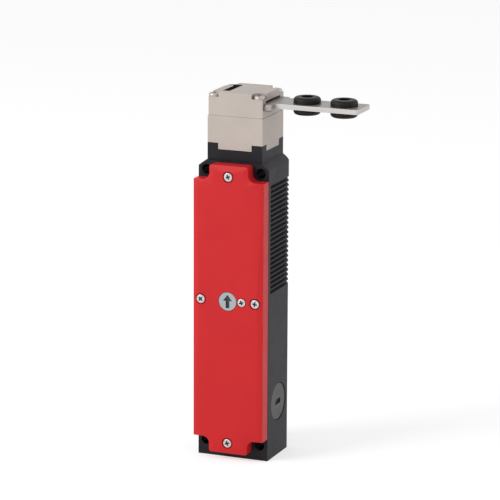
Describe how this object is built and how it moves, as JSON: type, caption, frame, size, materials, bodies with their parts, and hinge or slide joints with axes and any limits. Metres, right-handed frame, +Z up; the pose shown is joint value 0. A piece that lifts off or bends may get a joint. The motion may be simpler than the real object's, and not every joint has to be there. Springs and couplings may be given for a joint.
{
  "type": "tongue interlock switch",
  "caption": "Guard-locking safety switch: narrow upright housing with front cover, square operating head, side-entry metal tongue on rubber bushes, solenoid lock and release dial.",
  "frame": {"origin": "centre of the rectangle of mounting holes, on the mounting face", "axes": "+X towards the side the tongue enters from, +Y out of the mounting face towards the surface it is screwed to (the cover faces -Y), +Z up towards the operating head"},
  "size_m": [0.0837, 0.0378, 0.1921],
  "materials": {
    "housing": "black glass-fibre reinforced plastic, fine moulded grain",
    "cover": "signal red plastic, semi-gloss with a fine grain",
    "head": "die-cast zinc with a satin nickel finish",
    "steel": "stainless steel, ground",
    "zinc_screw": "bright zinc-plated steel",
    "rubber": "black moulded rubber",
    "dial": "pale blue-grey lacquered die-cast metal",
    "wheel": "natural white acetal",
    "plunger_metal": "turned steel",
    "carrier": "dark grey moulded plastic",
    "iron": "zinc-plated magnet iron",
    "copper": "enamelled copper winding",
    "bobbin": "natural moulded plastic",
    "block": "dark moulded plastic",
    "contact": "brass with silver contacts",
    "plug": "black moulded plastic",
    "spring": "spring steel wire"
  },
  "bodies": {
    "switch": {"housing": "housing", "cover": "cover", "cover_gasket": "rubber", "cover_screws": "zinc_screw", "seal_screw": "zinc_screw", "release_seal": "rubber", "head_base": "head", "head_cap": "head", "head_screws": "zinc_screw", "cam_axle": "plunger_metal", "plunger_seal": "rubber", "lock_carrier": "carrier", "slider_guide_pins": "plunger_metal", "solenoid_yoke": "iron", "solenoid_pole": "iron", "solenoid_bobbin": "bobbin", "solenoid_coil": "copper", "door_contact_block": "block", "lock_contact_block": "block", "terminal_strip": "block", "terminal_clamps": "contact", "terminal_screws": "zinc_screw", "entry_plugs": "plug", "plunger_spring": "spring", "armature_spring": "spring", "door_contact_spring": "spring"},
    "actuator": {"actuator_tongue": "steel", "tongue_bushes": "rubber"},
    "cam_wheel": {"cam_wheel": "wheel"},
    "plunger": {"plunger": "plunger_metal", "plunger_link": "steel", "door_bridge_carrier": "bobbin", "door_contact_bridge": "contact"},
    "armature": {"armature": "iron", "armature_pin": "plunger_metal", "release_bar": "steel", "lock_bridge_carrier": "bobbin", "lock_contact_bridge": "contact"},
    "lock_slider": {"lock_slider": "steel"},
    "release": {"auxiliary_release": "dial"}
  },
  "joints": [
    {"name": "tongue_slide", "type": "slide", "parent": "switch", "child": "actuator", "axis": [1, 0, 0], "range_m": [0, 0.03]},
    {"name": "cam_wheel_turn", "type": "hinge", "parent": "switch", "child": "cam_wheel", "pos_m": [0.0008, -0.01435, 0.0975], "axis": [0, 1, 0], "range_deg": [0, 90]},
    {"name": "plunger_slide", "type": "slide", "parent": "switch", "child": "plunger", "axis": [0, 0, -1], "range_m": [0, 0.0036], "deforming": ["plunger_spring", "door_contact_spring"]},
    {"name": "armature_slide", "type": "slide", "parent": "switch", "child": "armature", "axis": [0, 0, 1], "range_m": [0, 0.0022], "deforming": ["armature_spring"]},
    {"name": "lock_slider_slide", "type": "slide", "parent": "switch", "child": "lock_slider", "axis": [1, 0, 0], "range_m": [0, 0.0022]},
    {"name": "release_turn", "type": "hinge", "parent": "switch", "child": "release", "pos_m": [0, -0.037, 0.0054], "axis": [0, -1, 0], "range_deg": [0, 180]}
  ],
  "couplings": [
    {"joint": "cam_wheel_turn", "follows": "tongue_slide", "rad_per_m": 52.359},
    {"joint": "plunger_slide", "follows": "tongue_slide", "ratio": 0.12},
    {"joint": "lock_slider_slide", "follows": "armature_slide", "ratio": 1}
  ]
}
